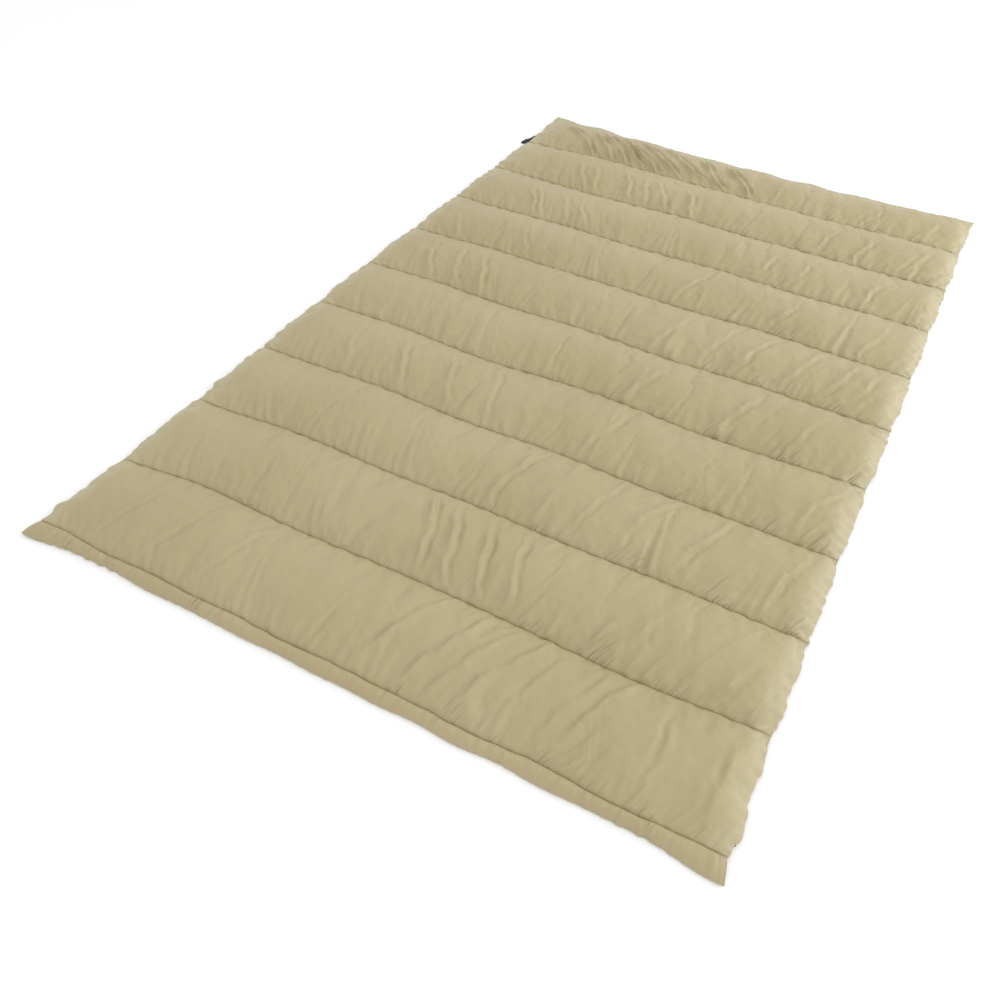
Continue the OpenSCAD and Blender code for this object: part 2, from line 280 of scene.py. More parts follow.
def thread_material(name, colour, dark):
    """Twisted thread: narrow slanting bands of a darker shade, raised between them."""
    material, n, shader = surface(name, 0.5, Sheen_Weight=0.2)
    place = n.add("ShaderNodeTexCoord")
    twist = n.add(
        "ShaderNodeTexWave",
        {"bands_direction": "DIAGONAL"},
        Vector=place.outputs["Object"],
        Scale=900.0,
        Distortion=1.5,
    )
    n.set(shader, "Base Color", n.mix(twist.outputs["Fac"], dark, colour))
    bump = n.add("ShaderNodeBump", Strength=0.3, Distance=0.0002, Height=twist.outputs["Fac"])
    n.set(shader, "Normal", bump.outputs[0])
    return material


def tape_material(name, colour, dark):
    """Herringbone tape: a zigzag of ribs, from a wave across the tape whose phase is the
    folded distance along it."""
    material, n, shader = surface(name, 0.7, Sheen_Weight=0.1)
    place = n.add("ShaderNodeTexCoord")
    split = n.add("ShaderNodeSeparateXYZ", Vector=place.outputs["Object"])
    fold = n.math("PINGPONG", n.math("MULTIPLY", split.outputs["X"], 1000.0), 2.0)
    along = n.math("MULTIPLY", split.outputs["Y"], 5200.0)
    rib = n.math("SINE", n.math("ADD", along, n.math("MULTIPLY", fold, 3.0)))
    level = n.math("ADD", n.math("MULTIPLY", rib, 0.5), 0.5)
    n.set(shader, "Base Color", n.mix(level, dark, colour))
    bump = n.add("ShaderNodeBump", Strength=0.4, Distance=0.0003, Height=level)
    n.set(shader, "Normal", bump.outputs[0])
    return material


def black_material(name, colour, worn, roughness, metallic=0.0, grain=260.0, depth=0.2):
    """Black plastic, painted metal or cord: fine grain in the bump, and slow patches where
    the surface is rubbed lighter and smoother."""
    material, n, shader = surface(name, roughness, metallic)
    place = n.add("ShaderNodeTexCoord")
    fine = n.add("ShaderNodeTexNoise", Vector=place.outputs["Object"], Scale=grain * 4, Detail=2.0)
    slow = n.add("ShaderNodeTexNoise", Vector=place.outputs["Object"], Scale=grain / 2, Detail=4.0)
    rubbed = n.add("ShaderNodeMapRange", Value=slow.outputs["Fac"], From_Min=0.5, From_Max=0.75)
    n.set(shader, "Base Color", n.mix(rubbed.outputs[0], colour, worn))
    smoother = n.math("MULTIPLY", rubbed.outputs[0], -0.12)
    n.set(shader, "Roughness", n.math("ADD", smoother, roughness))
    bump = n.add("ShaderNodeBump", Strength=depth, Distance=0.0002, Height=fine.outputs["Fac"])
    n.set(shader, "Normal", bump.outputs[0])
    return material


# Each cloth's third colour is painted shade for the seam valleys, and its fourth is painted light for the
# side faces.
SHELL = cloth_material(
    "shell_taffeta",
    base=srgb(175, 161, 125),
    cloud=srgb(169, 155, 118),
    painted_seam_shade=srgb(136, 121, 74),
    side=srgb(180, 169, 134),
)
LINING = cloth_material(
    "lining_taffeta",
    base=srgb(176, 164, 130),
    cloud=srgb(170, 158, 124),
    painted_seam_shade=srgb(130, 118, 80),
    side=srgb(180, 170, 136),
    roughness=0.7,
)
THREAD = thread_material("sand_thread", srgb(150, 136, 96), srgb(120, 107, 70))
TAPE = tape_material("zip_tape_weave", srgb(150, 138, 104), srgb(120, 108, 78))
COIL = black_material("zip_coil_nylon", srgb(150, 140, 108), srgb(176, 168, 140), 0.4, grain=600.0)
ELASTIC = tape_material("elastic_braid", srgb(214, 208, 192), srgb(160, 154, 138))
METAL = black_material("black_painted_metal", srgb(16, 16, 17), srgb(44, 44, 46), 0.4, 0.5)
PLASTIC = black_material("black_moulded_plastic", srgb(9, 9, 10), srgb(24, 24, 26), 0.6)
CORD = black_material("black_pull_cord", srgb(12, 12, 13), srgb(30, 30, 32), 0.8, grain=900.0, depth=0.6)

# ---------------------------------------------------------------- sizes taken from the frame

CHANNELS = 10
seam_boxes = [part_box(f"seam_{k}") for k in range(1, CHANNELS)]
SEAM_Y = np.array([(low.y + high.y) / 2 for low, high in seam_boxes])
SEAM_TOP = seam_boxes[0][1].z - 0.0012
SEAM_FOOT = seam_boxes[0][0].z + 0.0004
shell_low, shell_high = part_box("shell_1")
HALF_WIDTH = shell_high.x
FAR_END = shell_high.y
CROWN = shell_high.z
hem_low, hem_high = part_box("hem_casing")
stitch_low, stitch_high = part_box("hem_stitching")
HEM_Y = stitch_high.y - 0.0005
NEAR_END = hem_low.y
HEM_TOP = hem_high.z
coil_low, coil_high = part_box("zip_coil_right_3")
COIL_X, COIL_Z = (coil_low.x + coil_high.x) / 2, (coil_low.z + coil_high.z) / 2
tape_low, tape_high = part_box("zip_tape_right_3")
ZIP_FAR, ZIP_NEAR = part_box("zip_coil_left_1")[1].y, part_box("zip_coil_left_5")[0].y
TAPE_FAR, TAPE_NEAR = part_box("zip_tape_left_1")[1].y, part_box("zip_tape_left_5")[0].y

SIDE = 0.046  # width of the rounded side of a channel
SIDE_COLUMNS = 12
FLAT_COLUMNS = 232
CHANNEL_ROWS = 34
EDGE_TOP, EDGE_FOOT = 0.0072, 0.0052  # the folded edge, where shell and lining meet

# ---------------------------------------------------------------- shape of the cloth


def smooth(value, low, high):
    """0 below low, 1 above high and three t squared less two t cubed between them."""
    t = np.clip((value - low) / (high - low), 0.0, 1.0)
    return t * t * (3.0 - 2.0 * t)


def through(value, places, heights):
    """A smooth curve through given points: between two of them the height eases from
    one to the next."""
    index = np.clip(np.searchsorted(places, value) - 1, 0, len(places) - 2)
    places, heights = np.asarray(places), np.asarray(heights)
    t = np.clip((value - places[index]) / (places[index + 1] - places[index]), 0.0, 1.0)
    return heights[index] + (heights[index + 1] - heights[index]) * t * t * (3.0 - 2.0 * t)


def ripple(along, length, seed, count=9):
    """Uneven ripple along a line, from -1 to 1: a sum of sines whose lengths lie within a
    third of the given one and whose starts are random."""
    draw = np.random.default_rng(seed)
    total = np.zeros_like(along)
    for _ in range(count):
        total += np.sin(along * (2 * np.pi / (length * draw.uniform(0.67, 1.4))) + draw.uniform(0, 6.3))
    return total / np.sqrt(count)


def swell(x, y, length, seed, count=14):
    """Uneven swell over a plane: a sum of plane waves in random directions."""
    draw = np.random.default_rng(seed)
    total = np.zeros(np.broadcast(x, y).shape)
    for _ in range(count):
        heading = draw.uniform(0, np.pi)
        turn = 2 * np.pi / (length * draw.uniform(0.6, 1.5))
        total += np.sin(turn * (x * np.cos(heading) + y * np.sin(heading)) + draw.uniform(0, 6.3))
    return total / np.sqrt(count)


def bow(y, side):
    """How far the zip line stands out from straight on the left (-1) or right (1) side: one
    long hump on the left, a slight hollow on the right."""
    if side < 0:
        return 0.012 * np.exp(-(((y + 0.05) / 0.55) ** 2))
    return -0.003 * np.exp(-(((y + 0.30) / 0.30) ** 2))


def zip_bow(y, side):
    """How far the zip itself stands out: as the edge does, but straight where the slider
    runs."""
    return bow(y, side) * smooth(0.65 - y, 0.0, 0.15)


def seam_lines():
    """Where each stitched line runs at each place across: the far edge, nine seams and the
    hem line, as functions of x.  The far edge sags as a parabola.  Each seam wanders with a
    long ripple; the first also rises near the left, and the last three drop at the left."""
    far = lambda x: (
        FAR_END - 0.026 * (1 - ((x - 0.05) / 0.62) ** 2)
        - 0.0035 * ripple(x, 0.17, 3) * smooth(0.6 - np.abs(x), 0.0, 0.1)
    )

    def seam(k):
        rise = 0.012 if k == 1 else 0.0
        drop = 0.012 * smooth(float(k), 6.0, 9.0)
        return lambda x: (
            SEAM_Y[k - 1] - 0.0060 * (1 - k / 10)
            + 0.0035 * ripple(x, 0.45, 100 + k)
            + rise * np.exp(-(((x + 0.35) / 0.15) ** 2))
            - drop * smooth(-x, 0.40, 0.60)
            + 0.0004 * ripple(x, 0.04, 40 + k)
        )

    hem = lambda x: HEM_Y - 0.0025 + 0.0020 * ripple(x, 0.22, 62) + 0.0005 * ripple(x, 0.05, 61)
    return [far] + [seam(k) for k in range(1, CHANNELS)] + [hem]


LINES = seam_lines()


def edge_x(y, side, seams_at):
    """The outline of a long side: a little inside the full width in the middle of each
    channel, drawn in further at each seam by the thread, with small uneven notches."""
    gap = np.min(np.abs(y[..., None] - seams_at), axis=-1)
    pulled = np.exp(-((gap / 0.026) ** 1.4))
    fullest = np.where(side < 0, 0.0050, 0.0045)
    out = HALF_WIDTH - fullest + bow(y, side) - 0.0050 * pulled
    out += 0.0016 * ripple(y, 0.085, 71 + side) * (1 - pulled) + 0.0013 * ripple(y, 0.030, 75 + side)
    out += 0.0045 * np.exp(-((gap / 0.006) ** 2)) * smooth(ripple(y, 0.25, 79 + side), -0.4, 0.6)
    if side < 0:
        out -= 0.003 * np.exp(-(((y - SEAM_Y[0] - 0.06) / 0.05) ** 2))
    out += 0.007 * np.exp(-(((y + 0.935) / 0.04) ** 2))
    out += (fullest if side > 0 else 0.003) * smooth(y, 0.955, 0.995)
    return side * out


def across(rows_v, channel):
    """Places of one channel's cloth before it is puffed: x runs from edge to edge, close
    together on the rounded sides, and y between the channel's two stitched lines."""
    angle = np.linspace(0.0, np.pi / 2, SIDE_COLUMNS + 1)[:-1]
    inset = SIDE * (1 - np.cos(angle))
    middle = np.linspace(0.0, 1.0, FLAT_COLUMNS + 1)
    inward = middle * 2 * (HALF_WIDTH - SIDE)
    left_rise = 0.60 + 0.40 * smooth(inward, -0.03, 0.15)
    right_rise = 0.80 + 0.20 * smooth(inward[::-1], -0.03, 0.10)
    lift = np.concatenate([0.60 * np.sin(angle), left_rise * right_rise, 0.80 * np.sin(angle)[::-1]])
    seams_at = np.concatenate([SEAM_Y, [HEM_Y]])
    nominal = np.array([l(np.zeros(1))[0] for l in (LINES[channel - 1], LINES[channel])])
    guess = nominal[0] + (nominal[1] - nominal[0]) * rows_v
    x = None
    for _ in range(2):
        left = edge_x(guess if x is None else y[:, 0], -1, seams_at)
        right = edge_x(guess if x is None else y[:, -1], 1, seams_at)
        inner = (left + SIDE)[:, None] + (right - left - 2 * SIDE)[:, None] * middle[None, :]
        x = np.hstack([left[:, None] + inset[None, :], inner, right[:, None] - inset[None, ::-1]])
        top, foot = LINES[channel - 1](x), LINES[channel](x)
        y = top + (foot - top) * rows_v[:, None]
    return x, y, lift


# Fans of folds in the shell.  Each is its channel, the first and last place across, how many
# folds, how far they lean, the shares of the channel's depth where they start and end, height.
FOLD_FANS = [
    (1, -0.40, 0.05, 9, -0.14, 0.35, 1.00, 0.0080),
    (1, 0.20, 0.50, 3, 0.05, 0.50, 1.00, 0.0030),
    (2, -0.35, -0.05, 6, -0.05, 0.45, 1.00, 0.0050),
    (2, 0.30, 0.55, 4, 0.05, 0.40, 1.00, 0.0045),
    (3, -0.40, -0.25, 4, -0.05, 0.50, 1.00, 0.0050),
    (3, 0.15, 0.55, 4, 0.05, 0.40, 1.00, 0.0040),
    (4, -0.45, -0.30, 2, -0.05, 0.50, 1.00, 0.0030),
    (4, 0.10, 0.45, 3, 0.05, 0.30, 1.00, 0.0040),
    (5, -0.45, -0.30, 3, -0.05, 0.30, 1.00, 0.0040),
    (5, 0.10, 0.50, 6, 0.05, 0.20, 1.00, 0.0045),
    (6, 0.10, 0.55, 4, 0.05, 0.30, 1.00, 0.0040),
    (7, -0.40, -0.10, 4, -0.05, 0.20, 0.90, 0.0040),
    (7, 0.10, 0.45, 2, 0.05, 0.20, 0.90, 0.0035),
    (8, 0.00, 0.50, 5, 0.05, 0.10, 0.90, 0.0045),
    (9, 0.00, 0.15, 4, -0.05, 0.10, 0.90, 0.0050),
    (9, 0.30, 0.55, 5, 0.05, 0.50, 1.00, 0.0030),
    (10, -0.50, -0.30, 3, 0.05, 0.10, 0.90, 0.0035),
    (10, 0.10, 0.40, 7, -0.07, 0.95, 0.00, 0.0045),
    (10, 0.45, 0.55, 2, 0.00, 0.90, 0.20, 0.0035),
]


def fan_out():
    """Every fold as the x and y of its two ends, sideways bow, width and height.  A fan's
    folds stand evenly across, each with a random shift, lean, bow and height."""
    draw = np.random.default_rng(23)
    ends = np.concatenate([[FAR_END], SEAM_Y, [HEM_Y]])
    lines = []
    for channel, first, last, count, lean, start, stop, height in FOLD_FANS:
        far, depth = ends[channel - 1], ends[channel - 1] - ends[channel]
        pitch = (last - first) / count
        for place in np.linspace(first, last, count):
            root = place + pitch * draw.uniform(-0.4, 0.4)
            tip = root + lean * draw.uniform(0.7, 1.3)
            begin = start + draw.uniform(-0.08, 0.04)
            bend = draw.uniform(-0.010, 0.010)
            size = height * draw.uniform(0.5, 1.15)
            lines.append((tip, far - depth * begin, root, far - depth * stop, bend, 0.009, size))
    return lines


FOLDS = fan_out()
# Lines where the quilt has been folded lengthwise: x, wander, height.
PACK_CREASES = [
    (0.20 * HALF_WIDTH, 0.004, 0.0032),
    (-0.50 * HALF_WIDTH, 0.005, 0.0008),
    (0.75 * HALF_WIDTH, 0.005, 0.0010),
]


def folds(x, y, crest=False):
    """Height of the drawn folds: across each one a pointed ridge with a shallower hollow
    beside it, fading out at its two ends, along a wandering line bowed into an arc.  With
    crest, only the sharp top of the ridge."""
    total = np.zeros_like(x)
    for x0, y0, x1, y1, arc, width, height in FOLDS:
        width = 0.75 * width
        length = np.hypot(x1 - x0, y1 - y0)
        ux, uy = (x1 - x0) / length, (y1 - y0) / length
        t = ((x - x0) * ux + (y - y0) * uy) / length
        stray = 0.35 * width * np.sin(9.0 * t + 700.0 * x0) + 0.2 * width * np.sin(21.0 * t + 900.0 * y0)
        off = ((x - x0) * uy - (y - y0) * ux - arc * 4 * t * (1 - t) + stray) / width
        fade = smooth(t, -0.10, 0.35) * smooth(1.10 - t, 0.0, 0.30)
        fade *= 0.8 + 0.3 * np.sin(11.0 * t + 500.0 * x1)
        shape = np.exp(-np.abs(off) ** 1.4)
        shape -= 0.70 * np.exp(-((1.25 * off + 2.0) ** 2))
        shape -= 0.2 * np.exp(-((off - 2.4) ** 2))
        if crest:
            shape = np.exp(-3.0 * np.abs(off)) - 0.5 * np.exp(-4.0 * np.abs(off + 1.3))
        total += height * fade * shape
    return total


def creases(x, y):
    """Height of the lengthwise packing creases: a narrow ridge that wanders."""
    total = np.zeros_like(x)
    for at, wander, height in PACK_CREASES:
        off = x - at - wander * ripple(y, 0.5, int(900 * abs(at)), 4)
        total += height * np.exp(-np.abs(off) / 0.006) * (0.65 + 0.35 * ripple(y, 0.12, 5, 5))
    return total


def slant(x):
    """How gathers lean along the seam: one way on the left, the other way on the right."""
    return 1.0 - 2.4 * smooth(x, -0.25, 0.30)


def puckers(x, gap, seed, length, reach, lean):
    """Gathers that run out from a seam: uneven ripples along it that lean with the distance
    from it, come in clusters, grow over the first few millimetres and die away over a
    reach that changes along the seam."""
    local = reach * (0.45 + 1.1 * smooth(ripple(x, 0.09, seed + 1, 6), -0.8, 1.8))
    strength = 0.25 + 0.95 * smooth(ripple(x, 0.15, seed + 2, 7), -0.5, 1.5)
    place = x + (lean * slant(x) + 0.3 * ripple(x, 0.2, seed + 3, 4)) * gap
    wave = 0.7 * ripple(place, length, seed, 9) + 0.5 * ripple(place, 2.3 * length, seed + 4, 7)
    return wave * strength * (gap / 0.006) / (1 + gap / 0.006) * np.exp(-gap / local)


def loft(channel, x):
    """Height of a channel's crown above its seams, uneven along it, and lower in the far
    channel, whose cloth is slack."""
    full = 0.52 * (CROWN - SEAM_TOP)
    if channel == 1:
        full -= 0.005
    return full * (1.0 + 0.06 * ripple(x, 0.42, 20 + channel, 5))


def puffed(channel, rows_v):
    """Top cloth of a channel as drawn: an ellipse-like arch between two seams, rounded down
    at both sides, with its folds, a faint swell and the larger gathers."""
    x, y, lift = across(rows_v, channel)
    span = 1.0 - (2.0 * rows_v - 1.0) ** 2
    arch = span[:, None] ** 0.62
    far_gap = rows_v[:, None] * 0.197
    near_gap = (1.0 - rows_v[:, None]) * 0.197
    held = smooth(np.minimum(far_gap, near_gap), 0.0, 0.022) * smooth(lift[None, :], 0.0, 0.6)
    low = EDGE_TOP + (SEAM_TOP - EDGE_TOP) * lift[None, :]
    if channel == 1:
        low = EDGE_TOP + (SEAM_TOP - EDGE_TOP) * lift[None, :] * smooth(rows_v[:, None], 0.0, 0.5)
    right = 0.55 + 0.45 * smooth(x, -0.25, 0.35)
    z = low + loft(channel, x) * arch * lift[None, :]
    z += held * (folds(x, y) + 0.0012 * swell(x, y, 0.16, 31) + 0.0008 * swell(x, y, 0.06, 32))
    z += 0.0052 * right * lift * puckers(x, near_gap, 100 + channel, 0.024, 0.034, 0.25)
    z += 0.0016 * right * lift * puckers(x, far_gap, 200 + channel, 0.026, 0.018, -0.2)
    return np.stack([x, y, z], axis=-1)


def row_places(rows):
    """Shares of the way from one seam to the next, closer together beside the seams."""
    t = np.linspace(0.0, 1.0, rows + 1)
    return t - 0.55 * np.sin(2 * np.pi * t) / (2 * np.pi)


def quads(rows, columns, start=0, face_up=True):
    """Four-cornered faces over a grid of rows going away from the far end and columns
    going to the right."""
    at = (np.arange(rows - 1)[:, None] * columns + np.arange(columns - 1)[None, :]).ravel() + start
    corners = [at, at + columns, at + columns + 1, at + 1]
    return np.stack(corners if face_up else corners[::-1], axis=1)


def make_piece(name, points, faces, materials, smooth_faces=True, face_material=None):
    """A mesh object from points and faces, standing at the origin."""
    mesh = bpy.data.meshes.new(name)
    mesh.from_pydata(points.reshape(-1, 3).tolist(), [], [list(f) for f in faces])
    for material in materials:
        mesh.materials.append(material)
    if face_material is not None:
        mesh.polygons.foreach_set("material_index", np.asarray(face_material, np.int32))
    mesh.polygons.foreach_set("use_smooth", np.full(len(mesh.polygons), smooth_faces))
    mesh.update()
    piece = bpy.data.objects.new(name, mesh)
    bpy.context.scene.collection.objects.link(piece)
    return piece


def relaxed(points):
    """The drawn cloth let loose as real cloth: it is held along every stitched line and
    edge and blown up gently from below, so that folds settle and gathers form, and no
    point may go further than the cap."""
    rows, columns = points.shape[:2]
    sheet = make_piece("relaxing", points, quads(rows, columns), [])
    held = np.zeros((rows, columns), bool)
    held[::CHANNEL_ROWS] = True
    held[:, [0, -1]] = True
    group = sheet.vertex_groups.new(name="held")
    group.add(np.flatnonzero(held.ravel()).tolist(), 1.0, "REPLACE")
    cloth = sheet.modifiers.new("cloth", "CLOTH")
    settings = cloth.settings
    settings.quality = 4
    settings.mass = 0.12
    settings.tension_stiffness = 18.0
    settings.compression_stiffness = 18.0
    settings.shear_stiffness = 4.0
    settings.bending_stiffness = 0.06
    settings.use_pressure = True
    settings.uniform_pressure_force = 1.6
    settings.shrink_min = -0.012
    settings.vertex_group_mass = "held"
    settings.effector_weights.gravity = 0.0
    cloth.collision_settings.use_collision = False
    cloth.collision_settings.use_self_collision = False
    cloth.point_cache.frame_start = 1
    cloth.point_cache.frame_end = 12
    for step in range(1, 13):
        bpy.context.scene.frame_set(step)
    solved = sheet.evaluated_get(bpy.context.evaluated_depsgraph_get()).to_mesh()
    flat = np.empty(rows * columns * 3)
    solved.vertices.foreach_get("co", flat)
    bpy.context.scene.frame_set(1)
    bpy.data.objects.remove(sheet)
    moved = flat.reshape(points.shape) - points
    far = np.linalg.norm(moved, axis=-1, keepdims=True)
    cap = 0.010
    return points + moved * (cap * np.tanh(far / cap) / np.maximum(far, 1e-9))


def doubled(grid, axis):
    """Twice as many steps along one axis: each new point is nine sixteenths of its two
    neighbours less a sixteenth of the next two."""
    grid = np.moveaxis(grid, axis, 0)
    before, after = 2 * grid[:1] - grid[1:2], 2 * grid[-1:] - grid[-2:-1]
    wide = np.concatenate([before, grid, after])
    between = (9 * (wide[1:-2] + wide[2:-1]) - wide[:-3] - wide[3:]) / 16
    out = np.empty((2 * len(grid) - 1, *grid.shape[1:]))
    out[0::2], out[1::2] = grid, between
    return np.moveaxis(out, 0, axis)


def normals(grid):
    """Unit normals of a grid surface: the cross of its two directions."""
    down, right = np.gradient(grid, axis=0), np.gradient(grid, axis=1)
    out = np.cross(down, right)
    return out / np.maximum(np.linalg.norm(out, axis=-1, keepdims=True), 1e-12)


def top_cloth():
    """Every channel's top cloth at full fineness, as ten grids of points."""
    rows_v = row_places(CHANNEL_ROWS)
    drawn = [puffed(k, rows_v) for k in range(1, CHANNELS + 1)]
    whole = np.concatenate([drawn[0]] + [g[1:] for g in drawn[1:]])
    whole = relaxed(whole)
    grids = []
    for k in range(1, CHANNELS + 1):
        grid = whole[(k - 1) * CHANNEL_ROWS: k * CHANNEL_ROWS + 1]
        grid = doubled(doubled(grid, 0), 1)
        fine_v = row_places(CHANNEL_ROWS * 2)[:, None]
        x, y = grid[..., 0], grid[..., 1]
        near_gap, far_gap = (1 - fine_v) * 0.197, fine_v * 0.197
        lift = smooth(np.minimum(x - x[:, :1], x[:, -1:] - x), 0.0, 0.02)
        right = 0.6 + 0.4 * smooth(x, -0.25, 0.35)
        fine = 0.0016 * right * puckers(x, near_gap, 300 + k, 0.013, 0.016, 0.3)
        fine += 0.0007 * right * puckers(x, far_gap, 400 + k, 0.012, 0.010, -0.3)
        free = smooth(np.minimum(near_gap, far_gap), 0.0, 0.012)
        fine += (creases(x, y) + 0.34 * folds(x, y, crest=True)) * free
        fine += 0.00025 * swell(x, y, 0.022, 33) * smooth(np.minimum(near_gap, far_gap), 0.0, 0.02)
        grids.append(grid + normals(grid) * (fine * lift)[..., None])
    return grids


def underside(grid, channel):
    """Lining under a top grid: flat on the ground, drawn up beside each seam and along
    both sides, where it leaves room for the zip tape under the edge."""
    x, y = grid[..., 0], grid[..., 1]
    v = row_places(CHANNEL_ROWS * 2)[:, None]
    gap = np.minimum(v, 1 - v) * 0.197
    drawn = SEAM_FOOT * np.exp(-((gap / 0.014) ** 1.2)) * np.ones_like(x)
    if channel == 1:
        at_near_seam = SEAM_FOOT * np.exp(-(((1 - v) * 0.197 / 0.014) ** 1.2))
        at_far_edge = EDGE_FOOT * np.exp(-((v * 0.197 / 0.03) ** 1.2))
        drawn = np.maximum(at_near_seam, at_far_edge) * np.ones_like(x)
    inward = np.minimum(x - x[:, :1], x[:, -1:] - x)
    eaves = through(inward, [0.0, 0.012, 0.020, 0.036, 0.056], [EDGE_FOOT, 0.0055, 0.0040, 0.0021, 0.0004])
    z = np.maximum(drawn, 0.0003) + 0.0002 * (1 + swell(x, y, 0.09, 35)) * smooth(gap, 0, 0.02)
    z = np.maximum(z, eaves)
    return np.stack([x, y, np.maximum(z, 0.0002)], axis=-1)


def pillow(channel, grid):
    """One channel as a closed pillow: the top cloth, the lining under it and a narrow band
    round them where the two are sewn together."""
    rows, columns = grid.shape[:2]
    under = underside(grid, channel)
    low = grid.copy()
    low[..., 2] = np.minimum(under[..., 2], grid[..., 2] - 0.0006)
    count = rows * columns
    index = np.arange(count).reshape(rows, columns)
    loop = np.concatenate([index[:-1, 0], index[-1, :-1], index[:0:-1, -1], index[0, :0:-1]])
    onward = np.roll(loop, -1)
    band = np.stack([loop, loop + count, onward + count, onward], axis=1)
    top, foot = quads(rows, columns), quads(rows, columns, count, face_up=False)
    faces = np.concatenate([top, band, foot])
    lining_faces = np.concatenate([np.zeros(len(top) + len(band), int), np.ones(len(foot), int)])
    points = np.concatenate([grid, low])
    piece = make_piece(f"channel_{channel}", points, faces, [SHELL, LINING], face_material=lining_faces)
    v = row_places(CHANNEL_ROWS * 2)[:, None]
    gap = np.minimum(v, 1 - v) * 0.197
    if channel == 1:
        gap = (1 - v) * 0.197
    # valley: painted shade, darkening the cloth within a few millimetres of each seam.
    valley = np.exp(-gap / 0.0020) * 0.55 * np.ones((rows, columns))
    inward = np.minimum(grid[..., 0] - grid[:, :1, 0], grid[:, -1:, 0] - grid[..., 0])
    # wall: painted light, the rounded side faces made lighter.
    wall = 1 - smooth(inward, 0.012, 0.045)
    x = grid[..., 0]
    near, far = (1 - v) * 0.197 + 0 * x, v * 0.197 + 0 * x
    rightward = 0.45 + 0.55 * smooth(x, -0.15, 0.35)
    clusters = 0.25 + 0.95 * smooth(ripple(x, 0.11, 500 + channel, 8), -0.6, 1.4)
    at_near, at_far = np.exp(-near / (0.010 + 0.016 * rightward)), np.exp(-far / 0.010)
    gather = 1.3 * rightward * clusters * (at_near + (channel > 1) * 0.6 * at_far)
    gather = gather * smooth(inward, 0.002, 0.02)
    run = x + 3.0 * channel + 0.35 * slant(x) * near
    marks = {"valley": valley, "wall": wall, "gather": gather, "run": run, "reach": near}
    for label, mask in marks.items():
        attribute = piece.data.attributes.new(label, "FLOAT", "POINT")
        below = mask.ravel() * (label != "gather")
        attribute.data.foreach_set("value", np.concatenate([mask.ravel(), below]).astype(np.float32))
    return piece


# ---------------------------------------------------------------- sewn rows, hem and zip


def tube(path, side, up, radii, around, angle=0.0):
    """Points of a tube along a path: at each place a ring of the given half-width and
    half-height in the plane of the side and up directions."""
    turn = np.linspace(0, 2 * np.pi, around, endpoint=False) + angle
    wide, high = radii
    ring = np.cos(turn)[None, :, None] * side[:, None, :] * np.asarray(wide).reshape(-1, 1, 1)
    ring = ring + np.sin(turn)[None, :, None] * up[:, None, :] * np.asarray(high).reshape(-1, 1, 1)
    return path[:, None, :] + ring


def tube_faces(rings, around, start=0, closed_ends=True):
    """Faces of a tube of rings, with a cap at each end."""
    at = np.arange(rings - 1)[:, None] * around + np.arange(around)[None, :]
    after = np.arange(rings - 1)[:, None] * around + (np.arange(around)[None, :] + 1) % around
    faces = np.stack([at, after, after + around, at + around], axis=-1).reshape(-1, 4) + start
    faces = [tuple(f) for f in faces.tolist()]
    if closed_ends:
        faces.append(tuple(range(start + around - 1, start - 1, -1)))
        faces.append(tuple(range(start + (rings - 1) * around, start + rings * around)))
    return faces


def directions(path, up=(0.0, 0.0, 1.0)):
    """Unit directions along a path, to its side and up from it."""
    ahead = np.gradient(path, axis=0)
    ahead /= np.linalg.norm(ahead, axis=1, keepdims=True)
    side = np.cross(ahead, np.asarray(up))
    side /= np.linalg.norm(side, axis=1, keepdims=True)
    return ahead, side, np.cross(side, ahead)


def stitches(path, length=0.0027, gap=0.0009, thick=0.00042, sides=5, face_up=True):
    """A row of stitches along a path: each is a short bar with rounded, sunken ends, laid
    at equal steps of the path's length."""
    reach = np.concatenate([[0.0], np.cumsum(np.linalg.norm(np.diff(path, axis=0), axis=1))])
    centres = np.arange(length / 2, reach[-1] - length / 2, length + gap)
    at = np.stack([np.interp(centres, reach, path[:, i]) for i in range(3)], axis=1)
    ahead, side, up = directions(at)
    up = up if face_up else -up
    share, radius, sink = (-1.0, -0.7, 0.7, 1.0), (0.35, 1.0, 1.0, 0.35), (-1.6, 0.0, 0.0, -1.6)
    turn = np.linspace(0, 2 * np.pi, sides, endpoint=False)
    rings = []
    for a, r, s in zip(share, radius, sink):
        middle = at + ahead * (a * length / 2) + up * (s * thick)
        round_it = np.cos(turn)[None, :, None] * side[:, None, :]
        round_it = round_it + np.sin(turn)[None, :, None] * up[:, None, :]
        rings.append(middle[:, None, :] + round_it * thick * r)
    points = np.stack(rings, axis=1).reshape(-1, 3)
    one = tube_faces(4, sides)
    size = 4 * sides
    quad = np.array([f for f in one if len(f) == 4])
    caps = np.array([f for f in one if len(f) == sides])
    if not face_up:
        quad, caps = quad[:, ::-1], caps[:, ::-1]
    shift = np.arange(len(at))[:, None, None] * size
    faces = (quad[None] + shift).reshape(-1, 4).tolist() + (caps[None] + shift).reshape(-1, sides).tolist()
    return points, faces


def joined(parts):
    """Several (points, faces) pairs as one."""
    points, faces, start = [], [], 0
    for p, f in parts:
        points.append(p.reshape(-1, 3))
        faces += [[i + start for i in face] for face in f]
        start += len(points[-1])
    return np.concatenate(points), faces


def follow(piece, first_y, last_y):
    """Rides a piece on the panel that it lies on, or, where it crosses or touches the fold
    between two panels, leaves it unattached with its place baked into its points."""
    folds_at = SEAM_Y[1::2]
    middle = (first_y + last_y) / 2
    for i, y in enumerate(folds_at, 1):
        if abs(middle - y) < 0.15:
            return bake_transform(piece)
    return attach(piece, f"panel_{1 + int(np.sum(middle < folds_at))}")


